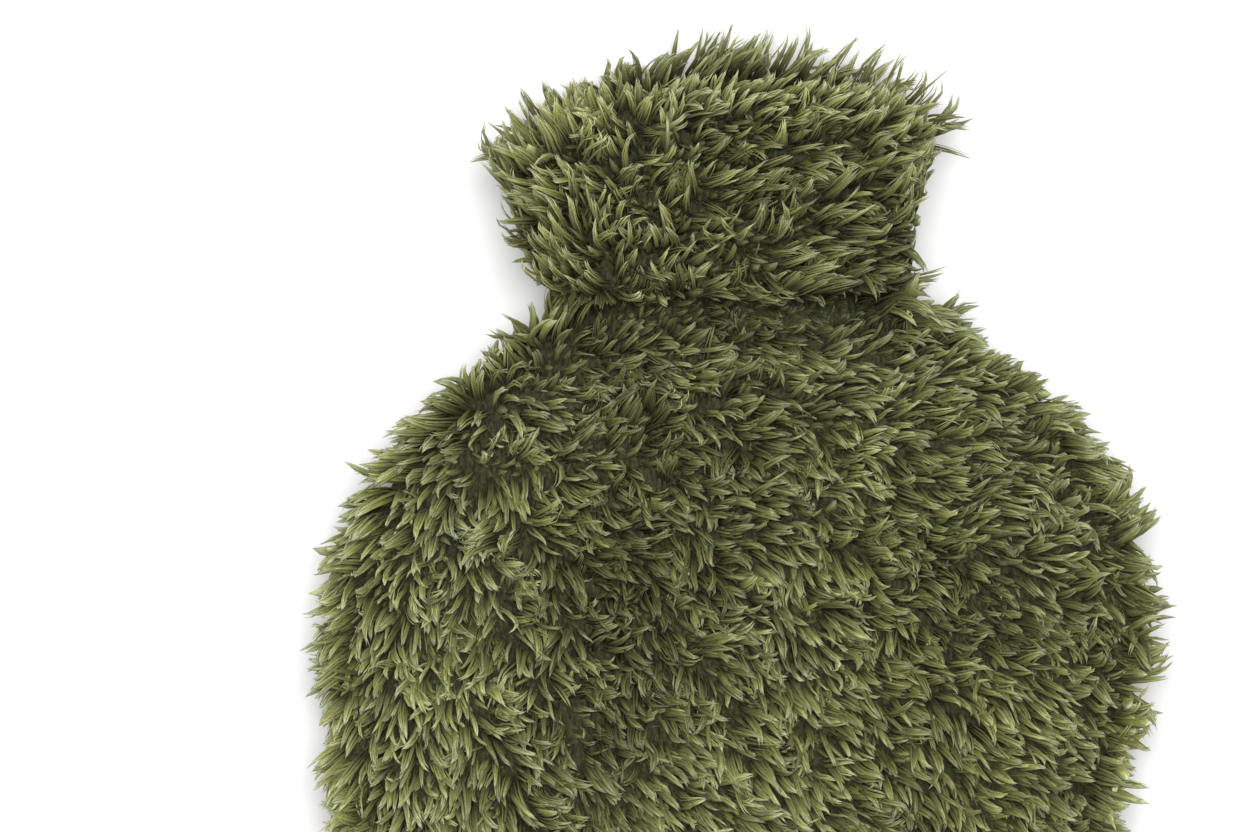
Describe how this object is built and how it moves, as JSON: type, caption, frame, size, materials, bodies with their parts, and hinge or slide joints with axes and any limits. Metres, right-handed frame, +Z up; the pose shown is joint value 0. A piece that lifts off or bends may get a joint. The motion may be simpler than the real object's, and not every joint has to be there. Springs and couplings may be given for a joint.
{
  "type": "hot water bottle cover",
  "caption": "Long-pile cloth cover for a hot water bottle: a rounded pocket between two panels, with a neck channel and a doubled collar turned down over the neck.",
  "frame": {"origin": "under the middle of the bounding box, on the surface that the cover lies on", "axes": "+Z up through the cover's thickness, +Y towards the collar's mouth, +X to the right seen from above"},
  "size_m": [0.2544, 0.3534, 0.0598],
  "materials": {
    "pile_cloth": "long olive green pile, matt"
  },
  "bodies": {
    "root": {"front_panel": "pile_cloth", "back_panel": "pile_cloth", "collar": "pile_cloth", "rim_pile": "pile_cloth", "collar_crown_pile": "pile_cloth", "collar_hem_pile": "pile_cloth"}
  },
  "joints": []
}
